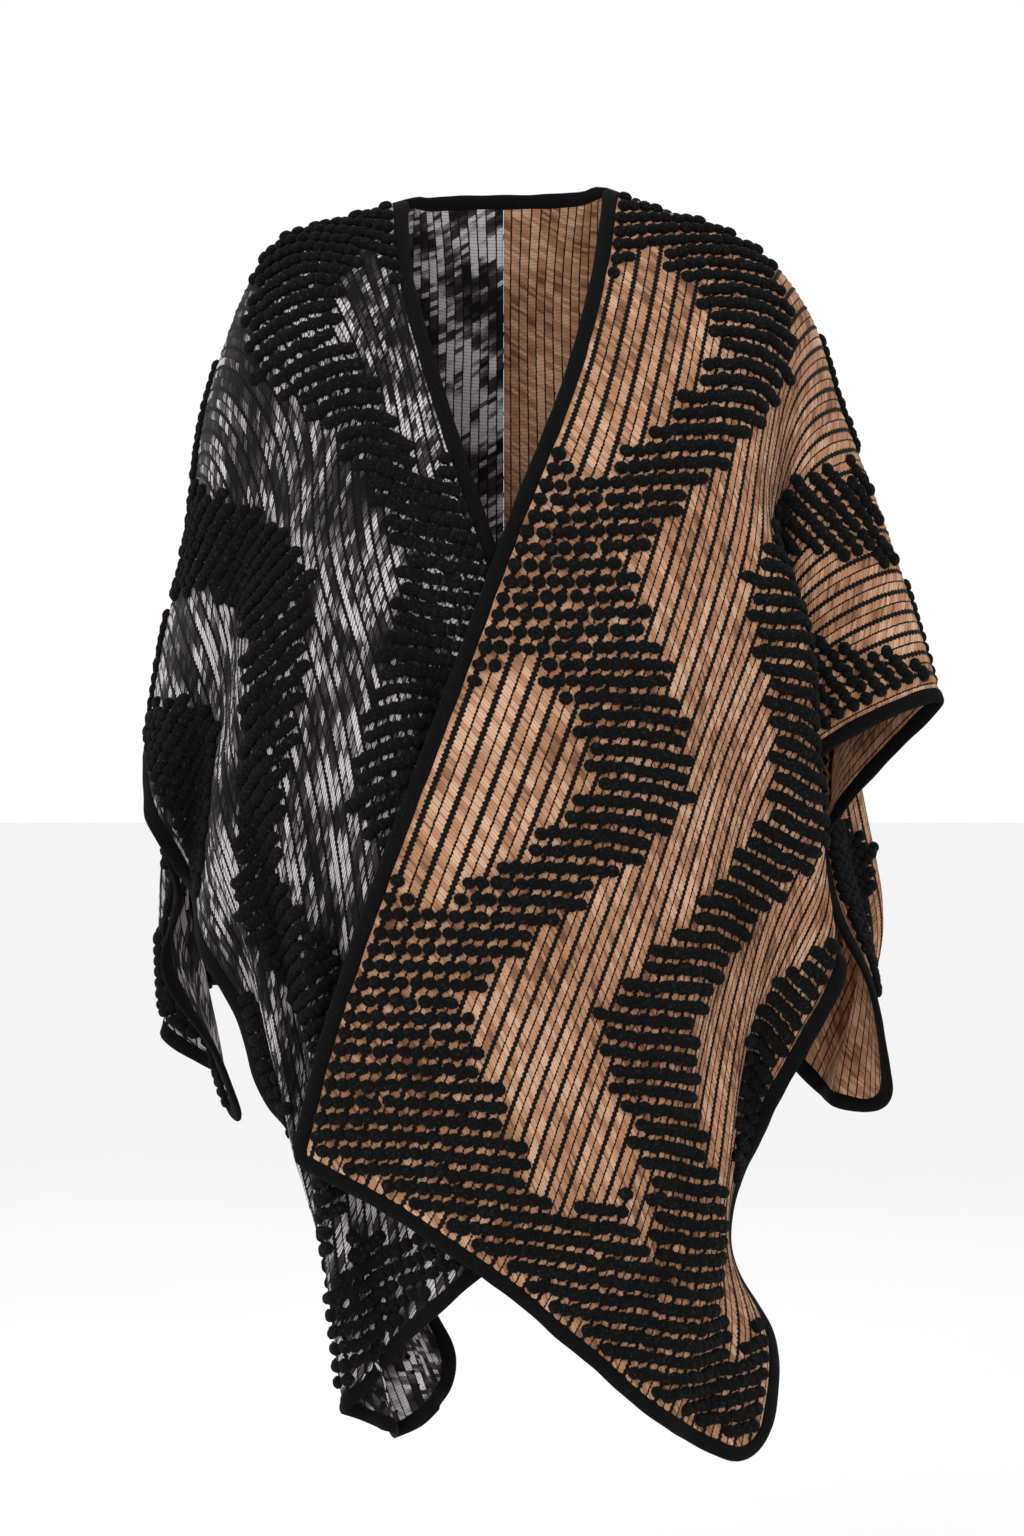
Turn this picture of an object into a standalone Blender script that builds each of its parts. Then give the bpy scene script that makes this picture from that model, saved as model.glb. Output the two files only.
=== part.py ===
"""Knit wrap poncho, worn: two front halves crossed at the waist, two back halves, and a bound edge.

X points to the wearer's left, Y to the back and Z up. The origin lies between the two neck sides,
where the shoulders carry the cloth. The fold tables are in millimetres, everything else in metres.
"""
from collections import namedtuple

import bmesh
import bpy
import numpy as np

MM = 0.001
COLLECTION = "knit_poncho"

# The flat cut of each half: its width from the front edge out, and its length from the shoulder down.
PANEL_WIDTH = 0.608
FRONT_LENGTH = 0.955
BACK_LENGTH = 0.700
HALF_NECK = 0.118
OUTER_CORNER = 0.055
FRONT_CORNER = 0.016

# The knit wall, and the soft band sewn over every raw edge.
WALL = 0.003
SEAM_GAP = 0.0004
BAND_WIDTH = 0.013
BAND_THICKNESS = 0.007
BAND_EDGE_THICKNESS = 0.0036
NAPE = (0.0, 0.062, 0.006)

# How finely the surfaces are worked out, and how many faces the solids have.
LATTICE_STEP = 0.006
PATH_SAMPLES = 160
CHORD_POWER = 0.7
OUTER_COLUMNS = 19
NECK_COLUMNS = 7
EDGE_STRIP = 0.002
STEP_WIDTH = 0.006
SHOULDER_END = 0.100
FOLDS_END = 0.440
FRONT_ROWS = (4, 19, 9)
BACK_ROWS = (4, 12, 5)
CORNER_HEIGHTS = (0.4, 0.72, 0.92, 1.0)
NECK_BLEND = 0.040
SHOULDER_BLEND = 0.060
SOFTENING_PASSES = 22
RING_TURNED_OVER = (5, 4, 3, 2, 1, 0, 5)

# The line of shoulder and arm, from the neck out: distance along the cloth, then sideways and up.
RidgePoint = namedtuple("RidgePoint", "distance x z")
LEFT_RIDGE = (
    RidgePoint(0, 93, 0),
    RidgePoint(62, 152, -22),
    RidgePoint(122, 210, -42),
    RidgePoint(176, 253, -73),
    RidgePoint(222, 280, -111),
    RidgePoint(316, 309, -200),
    RidgePoint(420, 346, -297),
    RidgePoint(522, 379, -393),
    RidgePoint(608, 406, -475),
)
RIGHT_RIDGE = (
    RidgePoint(0, -88, -11),
    RidgePoint(85, -170, -35),
    RidgePoint(122, -204, -46),
    RidgePoint(180, -237, -93),
    RidgePoint(226, -254, -136),
    RidgePoint(304, -275, -210),
    RidgePoint(380, -285, -286),
    RidgePoint(437, -295, -342),
    RidgePoint(510, -312, -413),
    RidgePoint(608, -332, -532),
)

# Each row below is a fold line that runs across a half, and the rows go from the arm down to the hem.
# The columns are places across the half, at these distances from its front edge.
FRONT_PLACES = {"edge": 0, "chest": 110, "shoulder": 210, "upper_arm": 320, "forearm": 450, "cuff": 608}
BACK_PLACES = {"centre": -HALF_NECK / MM, **FRONT_PLACES}
FrontFold = namedtuple("FrontFold", ("row", *FRONT_PLACES))
BackFold = namedtuple("BackFold", ("row", *BACK_PLACES))

LEFT_FRONT_FOLDS = (
    FrontFold("arm", (84, -50, -68), (183, -66, -105), (245, -72, -150),
              (272, -52, -228), (275, -48, -365), (278, -44, -532)),
    FrontFold("tuck", (60, -93, -165), (162, -102, -205), (232, -92, -215),
              (246, -40, -318), (240, -30, -438), (236, -26, -585)),
    FrontFold("under", (42, -112, -215), (146, -122, -272), (222, -108, -268),
              (242, -66, -345), (236, -56, -470), (228, -52, -628)),
    FrontFold("crest", (18, -132, -272), (125, -138, -340), (212, -122, -330),
              (268, -128, -400), (283, -132, -560), (302, -130, -705)),
    FrontFold("waist", (-60, -160, -480), (55, -158, -540), (155, -146, -510),
              (206, -116, -570), (248, -130, -650), (260, -114, -800)),
    FrontFold("hip", (-122, -166, -648), (-10, -166, -705), (92, -158, -685),
              (162, -146, -735), (210, -114, -770), (226, -62, -872)),
    FrontFold("thigh", (-165, -160, -780), (-60, -162, -835), (30, -163, -850),
              (115, -160, -895), (186, -138, -925), (206, -24, -985)),
    FrontFold("knee", (-177, -155, -833), (-80, -160, -884), (8, -163, -918),
              (88, -163, -968), (168, -150, -1018), (246, -84, -1052)),
    FrontFold("hem", (-188, -150, -885), (-104, -156, -930), (-24, -160, -982),
              (50, -162, -1040), (134, -158, -1112), (232, -118, -1170)),
)
RIGHT_FRONT_FOLDS = (
    FrontFold("arm", (-89, -50, -76), (-158, -62, -87), (-220, -62, -137),
              (-256, -60, -236), (-280, -62, -385), (-318, -62, -596)),
    FrontFold("tuck", (-70, -92, -162), (-116, -95, -185), (-174, -90, -203),
              (-222, -78, -330), (-252, -70, -470), (-288, -18, -648)),
    FrontFold("crest", (-30, -120, -277), (-97, -120, -331), (-160, -115, -349),
              (-216, -112, -420), (-250, -105, -555), (-271, -88, -704)),
    FrontFold("waist", (15, -135, -403), (-61, -135, -466), (-123, -130, -474),
              (-181, -122, -564), (-223, -110, -653), (-237, -92, -749)),
    FrontFold("hip", (60, -140, -563), (-29, -138, -617), (-96, -134, -652),
              (-155, -125, -742), (-191, -110, -806), (-212, -95, -825)),
    FrontFold("thigh", (95, -140, -723), (2, -138, -768), (-65, -134, -831),
              (-141, -120, -921), (-156, -88, -950), (-118, -10, -955)),
    FrontFold("hem", (127, -132, -889), (46, -135, -942), (-38, -128, -1001),
              (-123, -118, -1092), (-93, -92, -1138), (-37, -62, -1085)),
)
LEFT_BACK_FOLDS = (
    BackFold("arm", (0, 110, -95), (97, 92, -75), (193, 88, -100), (266, 78, -152),
             (308, 84, -245), (345, 78, -375), (350, 45, -538)),
    BackFold("tuck", (0, 124, -210), (100, 120, -185), (197, 114, -205), (268, 106, -245),
             (290, 112, -340), (322, 112, -455), (306, 58, -592)),
    BackFold("crest", (0, 132, -340), (104, 132, -320), (202, 126, -330), (275, 122, -350),
             (312, 130, -440), (338, 118, -560), (309, 30, -668)),
    BackFold("waist", (0, 140, -500), (108, 142, -490), (205, 142, -490), (280, 140, -500),
             (320, 138, -580), (352, 110, -680), (340, 8, -735)),
    BackFold("hem", (0, 148, -672), (113, 150, -672), (210, 152, -690), (275, 150, -730),
             (312, 142, -775), (292, 102, -836), (366, 42, -862)),
)
RIGHT_BACK_FOLDS = (
    BackFold("arm", (0, 110, -95), (-95, 92, -82), (-188, 88, -105), (-247, 76, -170),
             (-280, 84, -270), (-306, 80, -405), (-325, 38, -585)),
    BackFold("tuck", (0, 124, -210), (-99, 120, -190), (-193, 114, -208), (-250, 106, -265),
             (-272, 114, -365), (-298, 112, -490), (-306, 42, -648)),
    BackFold("crest", (0, 132, -340), (-103, 132, -322), (-199, 126, -335), (-258, 124, -380),
             (-290, 132, -460), (-312, 118, -580), (-314, 25, -725)),
    BackFold("waist", (0, 140, -500), (-107, 142, -490), (-203, 142, -505), (-264, 142, -560),
             (-298, 138, -600), (-320, 108, -672), (-266, 5, -803)),
    BackFold("hem", (0, 148, -672), (-112, 150, -672), (-208, 152, -690), (-268, 150, -740),
             (-300, 138, -745), (-316, 96, -770), (-236, 25, -886)),
)

Half = namedtuple("Half", "ridge front_folds back_folds")
HALVES = {
    "left": Half(LEFT_RIDGE, LEFT_FRONT_FOLDS, LEFT_BACK_FOLDS),
    "right": Half(RIGHT_RIDGE, RIGHT_FRONT_FOLDS, RIGHT_BACK_FOLDS),
}
Finish = namedtuple("Finish", "name colour roughness")
KNITS = {
    "left": Finish("camel_knit", (0.52, 0.27, 0.14, 1.0), 0.95),
    "right": Finish("grey_knit", (0.32, 0.30, 0.31, 1.0), 0.95),
}
BAND_FINISH = Finish("black_yarn", (0.012, 0.010, 0.010, 1.0), 0.9)


def clear_scene():
    """Removes what the scene starts with."""
    for item in list(bpy.data.objects):
        bpy.data.objects.remove(item, do_unlink=True)


def make_material(finish):
    """A plain woollen finish of one colour."""
    material = bpy.data.materials.new(finish.name)
    material.use_nodes = True
    shader = material.node_tree.nodes["Principled BSDF"]
    shader.inputs["Base Color"].default_value = finish.colour
    shader.inputs["Roughness"].default_value = finish.roughness
    shader.inputs["Metallic"].default_value = 0.0
    return material


def smooth_curve(knots, values, places):
    """A smooth curve through the values at the knots, read at the places along it."""
    knots = np.asarray(knots, float)
    values = np.asarray(values, float)
    places = np.clip(np.asarray(places, float), knots[0], knots[-1])
    step = np.diff(knots)
    column = (-1,) + (1,) * (values.ndim - 1)
    slope = np.diff(values, axis=0) / step.reshape(column)
    weight = step.reshape(column)
    tangent = np.empty_like(values)
    tangent[0] = slope[0]
    tangent[-1] = slope[-1]
    tangent[1:-1] = (slope[:-1] * weight[1:] + slope[1:] * weight[:-1]) / (weight[1:] + weight[:-1])
    span = np.clip(np.searchsorted(knots, places, side="right") - 1, 0, len(step) - 1)
    width = step[span].reshape(column)
    t = (places - knots[span]).reshape(column) / width
    rise = values[span + 1] - values[span]
    return (values[span] + rise * (3 * t**2 - 2 * t**3)
            + width * tangent[span] * (t**3 - 2 * t**2 + t)
            + width * tangent[span + 1] * (t**3 - t**2))


def shoulder_line(half, across):
    """Points on the line of shoulder and arm, at distances across the half from the neck."""
    table = np.array(half.ridge, float) * MM
    side_and_height = smooth_curve(table[:, 0], table[:, 1:], across)
    return np.insert(side_and_height, 1, 0.0, axis=1)


def neck_line(half, across):
    """Points on the back of the neck: an arc from the centre back (-HALF_NECK) to the neck side (0)."""
    side = np.array((half.ridge[0].x, 0, half.ridge[0].z)) * MM
    nape = np.array(NAPE)
    reach = abs(side[0])
    radius = (reach**2 + nape[1]**2) / (2 * nape[1])
    widest = np.arcsin(reach / radius)
    share = across / HALF_NECK + 1
    angle = share * widest
    x = np.sign(side[0]) * radius * np.sin(angle)
    y = nape[1] - radius * (1 - np.cos(angle))
    z = nape[2] + (side[2] - nape[2]) * share**2
    return np.stack([x, y, z], axis=1)


def fold_lines(folds, places, across):
    """Every fold line of a table, read at distances across the half.

    A back's lines are carried past the centre by their own mirror image, so the two backs meet smoothly.
    """
    knots = np.array(list(places.values()), float) * MM
    lines = [np.array(fold[1:], float) * MM for fold in folds]
    if "centre" in places:
        knots = np.concatenate([[2 * knots[0] - knots[1]], knots])
        lines = [np.concatenate([line[1:2] * (-1, 1, 1), line]) for line in lines]
    return [smooth_curve(knots, line, across) for line in lines]


def even_path(stations, down):
    """A smooth path through the stations, read at distances down from the second one, at true length."""
    chords = np.linalg.norm(np.diff(stations, axis=0), axis=1) ** CHORD_POWER
    knots = np.concatenate([[0], np.cumsum(chords)])
    start = knots[1] / 2
    path = smooth_curve(knots, stations, np.linspace(start, knots[-1], PATH_SAMPLES))
    travelled = np.concatenate([[0], np.cumsum(np.linalg.norm(np.diff(path, axis=0), axis=1))])
    top = np.interp(knots[1], np.linspace(start, knots[-1], PATH_SAMPLES), travelled)
    places = top + down / down[-1] * (travelled[-1] - top)
    return np.stack([np.interp(places, travelled, path[:, axis]) for axis in range(3)], axis=1)


def cloth_lattice(half, is_back):
    """The cloth of one panel as a fine lattice: rows down the cloth, columns across it."""
    low = -HALF_NECK - LATTICE_STEP if is_back else 0.0
    across = np.linspace(low, PANEL_WIDTH, round((PANEL_WIDTH - low) / LATTICE_STEP) + 1)
    length = BACK_LENGTH if is_back else FRONT_LENGTH
    rows = round(length / LATTICE_STEP)
    down = np.arange(-1, rows + 1) * (length / rows)
    over_shoulder = shoulder_line(half, np.maximum(across, 0))
    round_neck = neck_line(half, np.minimum(across, 0))
    top = np.where((across < 0)[:, None], round_neck, over_shoulder)
    front = fold_lines(half.front_folds, FRONT_PLACES, np.maximum(across, 0))
    back = fold_lines(half.back_folds, BACK_PLACES, across)
    own, beyond = (back, front[0]) if is_back else (front, back[0])
    if is_back:
        # The cloth below the neck hangs from the neckline instead of coming over the shoulder.
        hung = np.clip(-across / NECK_BLEND, 0, 1)[:, None]
        beyond = beyond * (1 - hung) + (2 * top - own[0]) * hung
    stations = np.stack([beyond, top, *own])
    points = np.stack([even_path(stations[:, column], down) for column in range(len(across))], axis=1)
    return across, down, soften(points, down)


def soften(points, down):
    """Rounds the folds as thick knit does; near the shoulder the cloth stays on its line."""
    free = np.clip(down / SHOULDER_BLEND - 0.5, 0, 1)[1:-1, None, None]
    for _ in range(SOFTENING_PASSES):
        middle = (points[:-2] + points[2:]) / 2
        points[1:-1] += (middle - points[1:-1]) * free / 2
        between = (points[1:-1, :-2] + points[1:-1, 2:]) / 2
        points[1:-1, 1:-1] += (between - points[1:-1, 1:-1]) * free / 4
    return points


def read_lattice(lattice, u, v):
    """Points of the cloth at distances u across and v down it."""
    across, down, points = lattice
    column = np.clip((u - across[0]) / (across[1] - across[0]), 0, len(across) - 1.0001)
    row = np.clip((v - down[0]) / (down[1] - down[0]), 0, len(down) - 1.0001)
    j, i = column.astype(int), row.astype(int)
    s, t = (column - j)[..., None], (row - i)[..., None]
    upper = points[i, j] * (1 - s) + points[i, j + 1] * s
    lower = points[i + 1, j] * (1 - s) + points[i + 1, j + 1] * s
    return upper * (1 - t) + lower * t


def read_normals(lattice, u, v):
    """Unit vectors square to the cloth, at distances u across and v down it."""
    reach = LATTICE_STEP
    sideways = read_lattice(lattice, u + reach, v) - read_lattice(lattice, u - reach, v)
    downwards = read_lattice(lattice, u, v + reach) - read_lattice(lattice, u, v - reach)
    normal = np.cross(sideways, downwards)
    return normal / np.linalg.norm(normal, axis=-1, keepdims=True)


def draw_in(distance, radius):
    """How far a round corner draws the side in, at a distance from the hem."""
    missing = np.clip(radius - distance, 0, radius)
    return radius - np.sqrt(radius**2 - missing**2)


def panel_grid(is_back):
    """Distances across and down for a panel's points, which stop short of the bands and the seams."""
    inset = BAND_WIDTH + SEAM_GAP
    length = (BACK_LENGTH if is_back else FRONT_LENGTH) - inset
    radius = OUTER_CORNER - inset
    top = SEAM_GAP / 2
    shoulder, folded, hanging = BACK_ROWS if is_back else FRONT_ROWS
    down = np.concatenate([
        [top],
        np.linspace(top + EDGE_STRIP, SHOULDER_END, shoulder),
        np.linspace(SHOULDER_END, FOLDS_END, folded + 1)[1:],
        np.linspace(FOLDS_END, length - radius, hanging + 1)[1:],
        length - radius + radius * np.array(CORNER_HEIGHTS),
    ])
    low = inset + draw_in(length - down, FRONT_CORNER - inset)
    high = PANEL_WIDTH - inset - draw_in(length - down, radius)
    strip = EDGE_STRIP / PANEL_WIDTH
    share = np.concatenate([[0], np.linspace(strip, 1 - strip, OUTER_COLUMNS), [1]])
    if not is_back:
        u = low[:, None] + (high - low)[:, None] * share
        return u, np.repeat(down[:, None], u.shape[1], axis=1)
    # Under the neck band the back starts lower, with a narrow step at the band's end.
    seam = -HALF_NECK + SEAM_GAP / 2
    neck = np.concatenate([[seam], np.linspace(seam + EDGE_STRIP, 0.0, NECK_COLUMNS), [inset]])
    step = inset + STEP_WIDTH
    outer = step + (high[:, None] - step) * np.delete(share, 1)
    u = np.concatenate([np.repeat(neck[None], len(down), axis=0), outer], axis=1)
    start = np.where(np.arange(u.shape[1]) < len(neck), inset + SEAM_GAP * 2, top)
    v = start + (length - start) * ((down - top) / (length - top))[:, None]
    return u, v


def band_rings(lattice, u, v):
    """The rings of a band sewn round the points (u, v) of a panel's edge.

    The points run with the outside of the panel a quarter turn round from their direction, and
    each ring is a flat oval of six points that starts one seam gap outside its point.
    """
    along = np.stack([np.gradient(u), np.gradient(v)])
    along *= LATTICE_STEP / np.linalg.norm(along, axis=0)
    edge = read_lattice(lattice, u, v)
    normal = read_normals(lattice, u, v)
    ahead = read_lattice(lattice, u + along[0], v + along[1])
    behind = read_lattice(lattice, u - along[0], v - along[1])
    outward = np.cross(normal, ahead - behind)
    outward /= np.linalg.norm(outward, axis=1, keepdims=True)
    half_edge = BAND_EDGE_THICKNESS / 2
    half_middle = BAND_THICKNESS / 2
    inner, middle, outer = SEAM_GAP, SEAM_GAP + BAND_WIDTH / 2, SEAM_GAP + BAND_WIDTH
    section = ((outer, half_edge), (middle, half_middle), (inner, half_edge),
               (inner, -half_edge), (middle, -half_middle), (outer, -half_edge), (outer, half_edge))
    return np.stack([edge + outward * reach + normal * height for reach, height in section], axis=1)


def front_band_rings(lattice):
    """The front's band: down the front edge, along the hem and up the outer edge."""
    u, v = panel_grid(is_back=False)
    return band_rings(lattice, *(np.concatenate([g[:, 0], g[-1, 1:-1], g[::-1, -1]]) for g in (u, v)))


def back_band_rings(lattice):
    """The back's band: along the hem from the centre, and up the outer edge."""
    u, v = panel_grid(is_back=True)
    return band_rings(lattice, *(np.concatenate([g[-1, :-1], g[::-1, -1]]) for g in (u, v)))


def neck_band_rings(lattice):
    """Half of the neck's band: from the front band to the centre back."""
    u, v = panel_grid(is_back=True)
    last = NECK_COLUMNS + 1
    return band_rings(lattice, u[0, last::-1], v[0, last::-1])


def new_object(name, mesh_builder, material, collection):
    """A mesh object with one material, in the collection."""
    mesh = bpy.data.meshes.new(name)
    mesh_builder.to_mesh(mesh)
    mesh_builder.free()
    mesh.materials.append(material)
    mesh.shade_smooth()
    made = bpy.data.objects.new(name, mesh)
    collection.objects.link(made)
    return made


def lay_on_points(layers):
    """A flat grid, or a flat slab, whose points are moved to the given ones: layers, rows, columns."""
    count, rows, columns = layers.shape[:3]
    builder = bmesh.new()
    bmesh.ops.create_grid(builder, x_segments=columns - 1, y_segments=rows - 1, size=0.5)
    if count == 2:
        raised = bmesh.ops.extrude_face_region(builder, geom=builder.faces[:])["geom"]
        upper = [item for item in raised if isinstance(item, bmesh.types.BMVert)]
        bmesh.ops.translate(builder, verts=upper, vec=(0.0, 0.0, 1.0))
    for vertex in builder.verts:
        column = round((vertex.co.x + 0.5) * (columns - 1))
        row = round((vertex.co.y + 0.5) * (rows - 1))
        vertex.co = layers[round(vertex.co.z), row, column]
    return builder


def add_panel(name, lattice, is_back, material, collection):
    """One panel: a slab laid on the cloth's points, with half of its wall on each side of them."""
    u, v = panel_grid(is_back)
    points = read_lattice(lattice, u, v)
    half_wall = read_normals(lattice, u, v) * (WALL / 2)
    builder = lay_on_points(np.stack([points - half_wall, points + half_wall]))
    face_outwards(builder)
    return new_object(name, builder, material, collection)


def face_outwards(builder):
    """Points the faces of a closed body away from its inside."""
    bmesh.ops.recalc_face_normals(builder, faces=builder.faces)
    if builder.calc_volume(signed=True) < 0:
        bmesh.ops.reverse_faces(builder, faces=builder.faces)


def add_band(name, rings, material, collection):
    """One band: its rings joined into a tube with both ends closed."""
    builder = lay_on_points(rings[None])
    bmesh.ops.remove_doubles(builder, verts=builder.verts, dist=MM * 0.01)
    open_edges = [edge for edge in builder.edges if edge.is_boundary]
    bmesh.ops.holes_fill(builder, edges=open_edges, sides=0)
    face_outwards(builder)
    return new_object(name, builder, material, collection)


def build():
    """Makes the poncho."""
    clear_scene()
    collection = bpy.data.collections.new(COLLECTION)
    bpy.context.scene.collection.children.link(collection)
    band_material = make_material(BAND_FINISH)
    neck_rings = {}
    for side, half in HALVES.items():
        knit = make_material(KNITS[side])
        front = cloth_lattice(half, is_back=False)
        back = cloth_lattice(half, is_back=True)
        add_panel(side + "_front", front, False, knit, collection)
        add_panel(side + "_back", back, True, knit, collection)
        add_band(side + "_front_band", front_band_rings(front), band_material, collection)
        add_band(side + "_back_band", back_band_rings(back), band_material, collection)
        neck_rings[side] = neck_band_rings(back)
    # The right half's normals point the other way, so its rings are turned over to match the left's.
    turned_over = neck_rings["right"][-2::-1, RING_TURNED_OVER]
    add_band("neck_band", np.concatenate([neck_rings["left"], turned_over]), band_material, collection)


build()
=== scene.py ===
"""The finish of a worn knit wrap poncho: knit panels, raised bobbles and soft bands, and its plain stage.

X points to the left side as worn, Y to the back and Z up, in metres. Each panel is a cloth with its own
coordinates: u runs across it from the front edge outwards, v runs down it from the shoulder. The
panels, the bobbles and the bands all read the same lattice of cloth points. Tables are in millimetres.
"""
from collections import namedtuple
from functools import lru_cache

import bmesh
import bpy
import numpy as np
from bpy.props import FloatProperty, FloatVectorProperty, PointerProperty
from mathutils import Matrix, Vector


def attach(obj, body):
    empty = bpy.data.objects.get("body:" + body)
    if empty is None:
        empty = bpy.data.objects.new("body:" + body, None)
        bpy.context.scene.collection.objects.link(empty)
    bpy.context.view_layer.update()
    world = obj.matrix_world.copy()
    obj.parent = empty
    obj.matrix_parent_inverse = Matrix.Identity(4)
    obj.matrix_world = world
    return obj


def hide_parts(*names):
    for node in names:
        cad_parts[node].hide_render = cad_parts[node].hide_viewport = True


bl_info = {
    "name": "Knit Wrap Poncho",
    "version": (1, 0, 0),
    "blender": (4, 5, 0),
    "location": "View3D > Sidebar > Knit Wrap",
    "description": "Makes the knit panels, bobbles and bands of a worn wrap, and its stage",
    "category": "Object",
}

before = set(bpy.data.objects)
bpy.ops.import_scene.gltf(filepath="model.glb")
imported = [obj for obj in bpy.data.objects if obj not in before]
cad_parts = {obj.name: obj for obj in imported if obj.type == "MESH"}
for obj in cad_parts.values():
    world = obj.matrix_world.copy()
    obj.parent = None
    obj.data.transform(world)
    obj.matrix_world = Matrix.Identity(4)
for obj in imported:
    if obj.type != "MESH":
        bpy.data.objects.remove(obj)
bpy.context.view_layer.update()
MM = 0.001
BODY = "root"

# The flat cut of each half: its width from the front edge out, and its length from the shoulder down.
PANEL_WIDTH = 0.608
FRONT_LENGTH = 0.955
BACK_LENGTH = 0.700
HALF_NECK = 0.118
OUTER_CORNER = 0.055
FRONT_CORNER = 0.016

# The knit wall, and the soft band sewn over every raw edge.
WALL = 0.003
SEAM_GAP = 0.0004
BAND_WIDTH = 0.013
BAND_THICKNESS = 0.007
NAPE = (0.0, 0.062, 0.006)

# How the cloth's lattice is worked out.
LATTICE_STEP = 0.006
PATH_SAMPLES = 160
CHORD_POWER = 0.7
STEP_WIDTH = 0.006
NECK_BLEND = 0.040
SHOULDER_BLEND = 0.060
SOFTENING_PASSES = 22
CREASE_ONSET = 0.5

# The line of shoulder and arm, from the neck out: distance along the cloth, then sideways and up.
RidgePoint = namedtuple("RidgePoint", "distance x z")
LEFT_RIDGE = (
    RidgePoint(0, 93, 0),
    RidgePoint(62, 152, -22),
    RidgePoint(122, 210, -42),
    RidgePoint(176, 253, -73),
    RidgePoint(222, 280, -111),
    RidgePoint(316, 309, -200),
    RidgePoint(420, 346, -297),
    RidgePoint(522, 379, -393),
    RidgePoint(608, 406, -475),
)
RIGHT_RIDGE = (
    RidgePoint(0, -88, -11),
    RidgePoint(85, -170, -35),
    RidgePoint(122, -204, -46),
    RidgePoint(180, -237, -93),
    RidgePoint(226, -254, -136),
    RidgePoint(304, -275, -210),
    RidgePoint(380, -285, -286),
    RidgePoint(437, -295, -342),
    RidgePoint(510, -312, -413),
    RidgePoint(608, -332, -532),
)

# Each row below is a fold line that runs across a half, and the rows go from the arm down to the hem.
# The columns are places across the half, at these distances from its front edge.
FRONT_PLACES = {"edge": 0, "chest": 110, "shoulder": 210, "upper_arm": 320, "forearm": 450, "cuff": 608}
BACK_PLACES = {"centre": -HALF_NECK / MM, **FRONT_PLACES}
FrontFold = namedtuple("FrontFold", ("row", *FRONT_PLACES))
BackFold = namedtuple("BackFold", ("row", *BACK_PLACES))

LEFT_FRONT_FOLDS = (
    FrontFold("arm", (84, -50, -68), (183, -66, -105), (245, -72, -150),
              (272, -52, -228), (275, -48, -365), (278, -44, -532)),
    FrontFold("tuck", (60, -93, -165), (162, -102, -205), (232, -92, -215),
              (246, -40, -318), (240, -30, -438), (236, -26, -585)),
    FrontFold("under", (42, -112, -215), (146, -122, -272), (222, -108, -268),
              (242, -66, -345), (236, -56, -470), (228, -52, -628)),
    FrontFold("crest", (18, -132, -272), (125, -138, -340), (212, -122, -330),
              (268, -128, -400), (283, -132, -560), (302, -130, -705)),
    FrontFold("waist", (-60, -160, -480), (55, -158, -540), (155, -146, -510),
              (206, -116, -570), (248, -130, -650), (260, -114, -800)),
    FrontFold("hip", (-122, -166, -648), (-10, -166, -705), (92, -158, -685),
              (162, -146, -735), (210, -114, -770), (226, -62, -872)),
    FrontFold("thigh", (-165, -160, -780), (-60, -162, -835), (30, -163, -850),
              (115, -160, -895), (186, -138, -925), (206, -24, -985)),
    FrontFold("knee", (-177, -155, -833), (-80, -160, -884), (8, -163, -918),
              (88, -163, -968), (168, -150, -1018), (246, -84, -1052)),
    FrontFold("hem", (-188, -150, -885), (-104, -156, -930), (-24, -160, -982),
              (50, -162, -1040), (134, -158, -1112), (232, -118, -1170)),
)
RIGHT_FRONT_FOLDS = (
    FrontFold("arm", (-89, -50, -76), (-158, -62, -87), (-220, -62, -137),
              (-256, -60, -236), (-280, -62, -385), (-318, -62, -596)),
    FrontFold("tuck", (-70, -92, -162), (-116, -95, -185), (-174, -90, -203),
              (-222, -78, -330), (-252, -70, -470), (-288, -18, -648)),
    FrontFold("crest", (-30, -120, -277), (-97, -120, -331), (-160, -115, -349),
              (-216, -112, -420), (-250, -105, -555), (-271, -88, -704)),
    FrontFold("waist", (15, -135, -403), (-61, -135, -466), (-123, -130, -474),
              (-181, -122, -564), (-223, -110, -653), (-237, -92, -749)),
    FrontFold("hip", (60, -140, -563), (-29, -138, -617), (-96, -134, -652),
              (-155, -125, -742), (-191, -110, -806), (-212, -95, -825)),
    FrontFold("thigh", (95, -140, -723), (2, -138, -768), (-65, -134, -831),
              (-141, -120, -921), (-156, -88, -950), (-118, -10, -955)),
    FrontFold("hem", (127, -132, -889), (46, -135, -942), (-38, -128, -1001),
              (-123, -118, -1092), (-93, -92, -1138), (-37, -62, -1085)),
)
LEFT_BACK_FOLDS = (
    BackFold("arm", (0, 110, -95), (97, 92, -75), (193, 88, -100), (266, 78, -152),
             (308, 84, -245), (345, 78, -375), (350, 45, -538)),
    BackFold("tuck", (0, 124, -210), (100, 120, -185), (197, 114, -205), (268, 106, -245),
             (290, 112, -340), (322, 112, -455), (306, 58, -592)),
    BackFold("crest", (0, 132, -340), (104, 132, -320), (202, 126, -330), (275, 122, -350),
             (312, 130, -440), (338, 118, -560), (309, 30, -668)),
    BackFold("waist", (0, 140, -500), (108, 142, -490), (205, 142, -490), (280, 140, -500),
             (320, 138, -580), (352, 110, -680), (340, 8, -735)),
    BackFold("hem", (0, 148, -672), (113, 150, -672), (210, 152, -690), (275, 150, -730),
             (312, 142, -775), (292, 102, -836), (366, 42, -862)),
)
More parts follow.
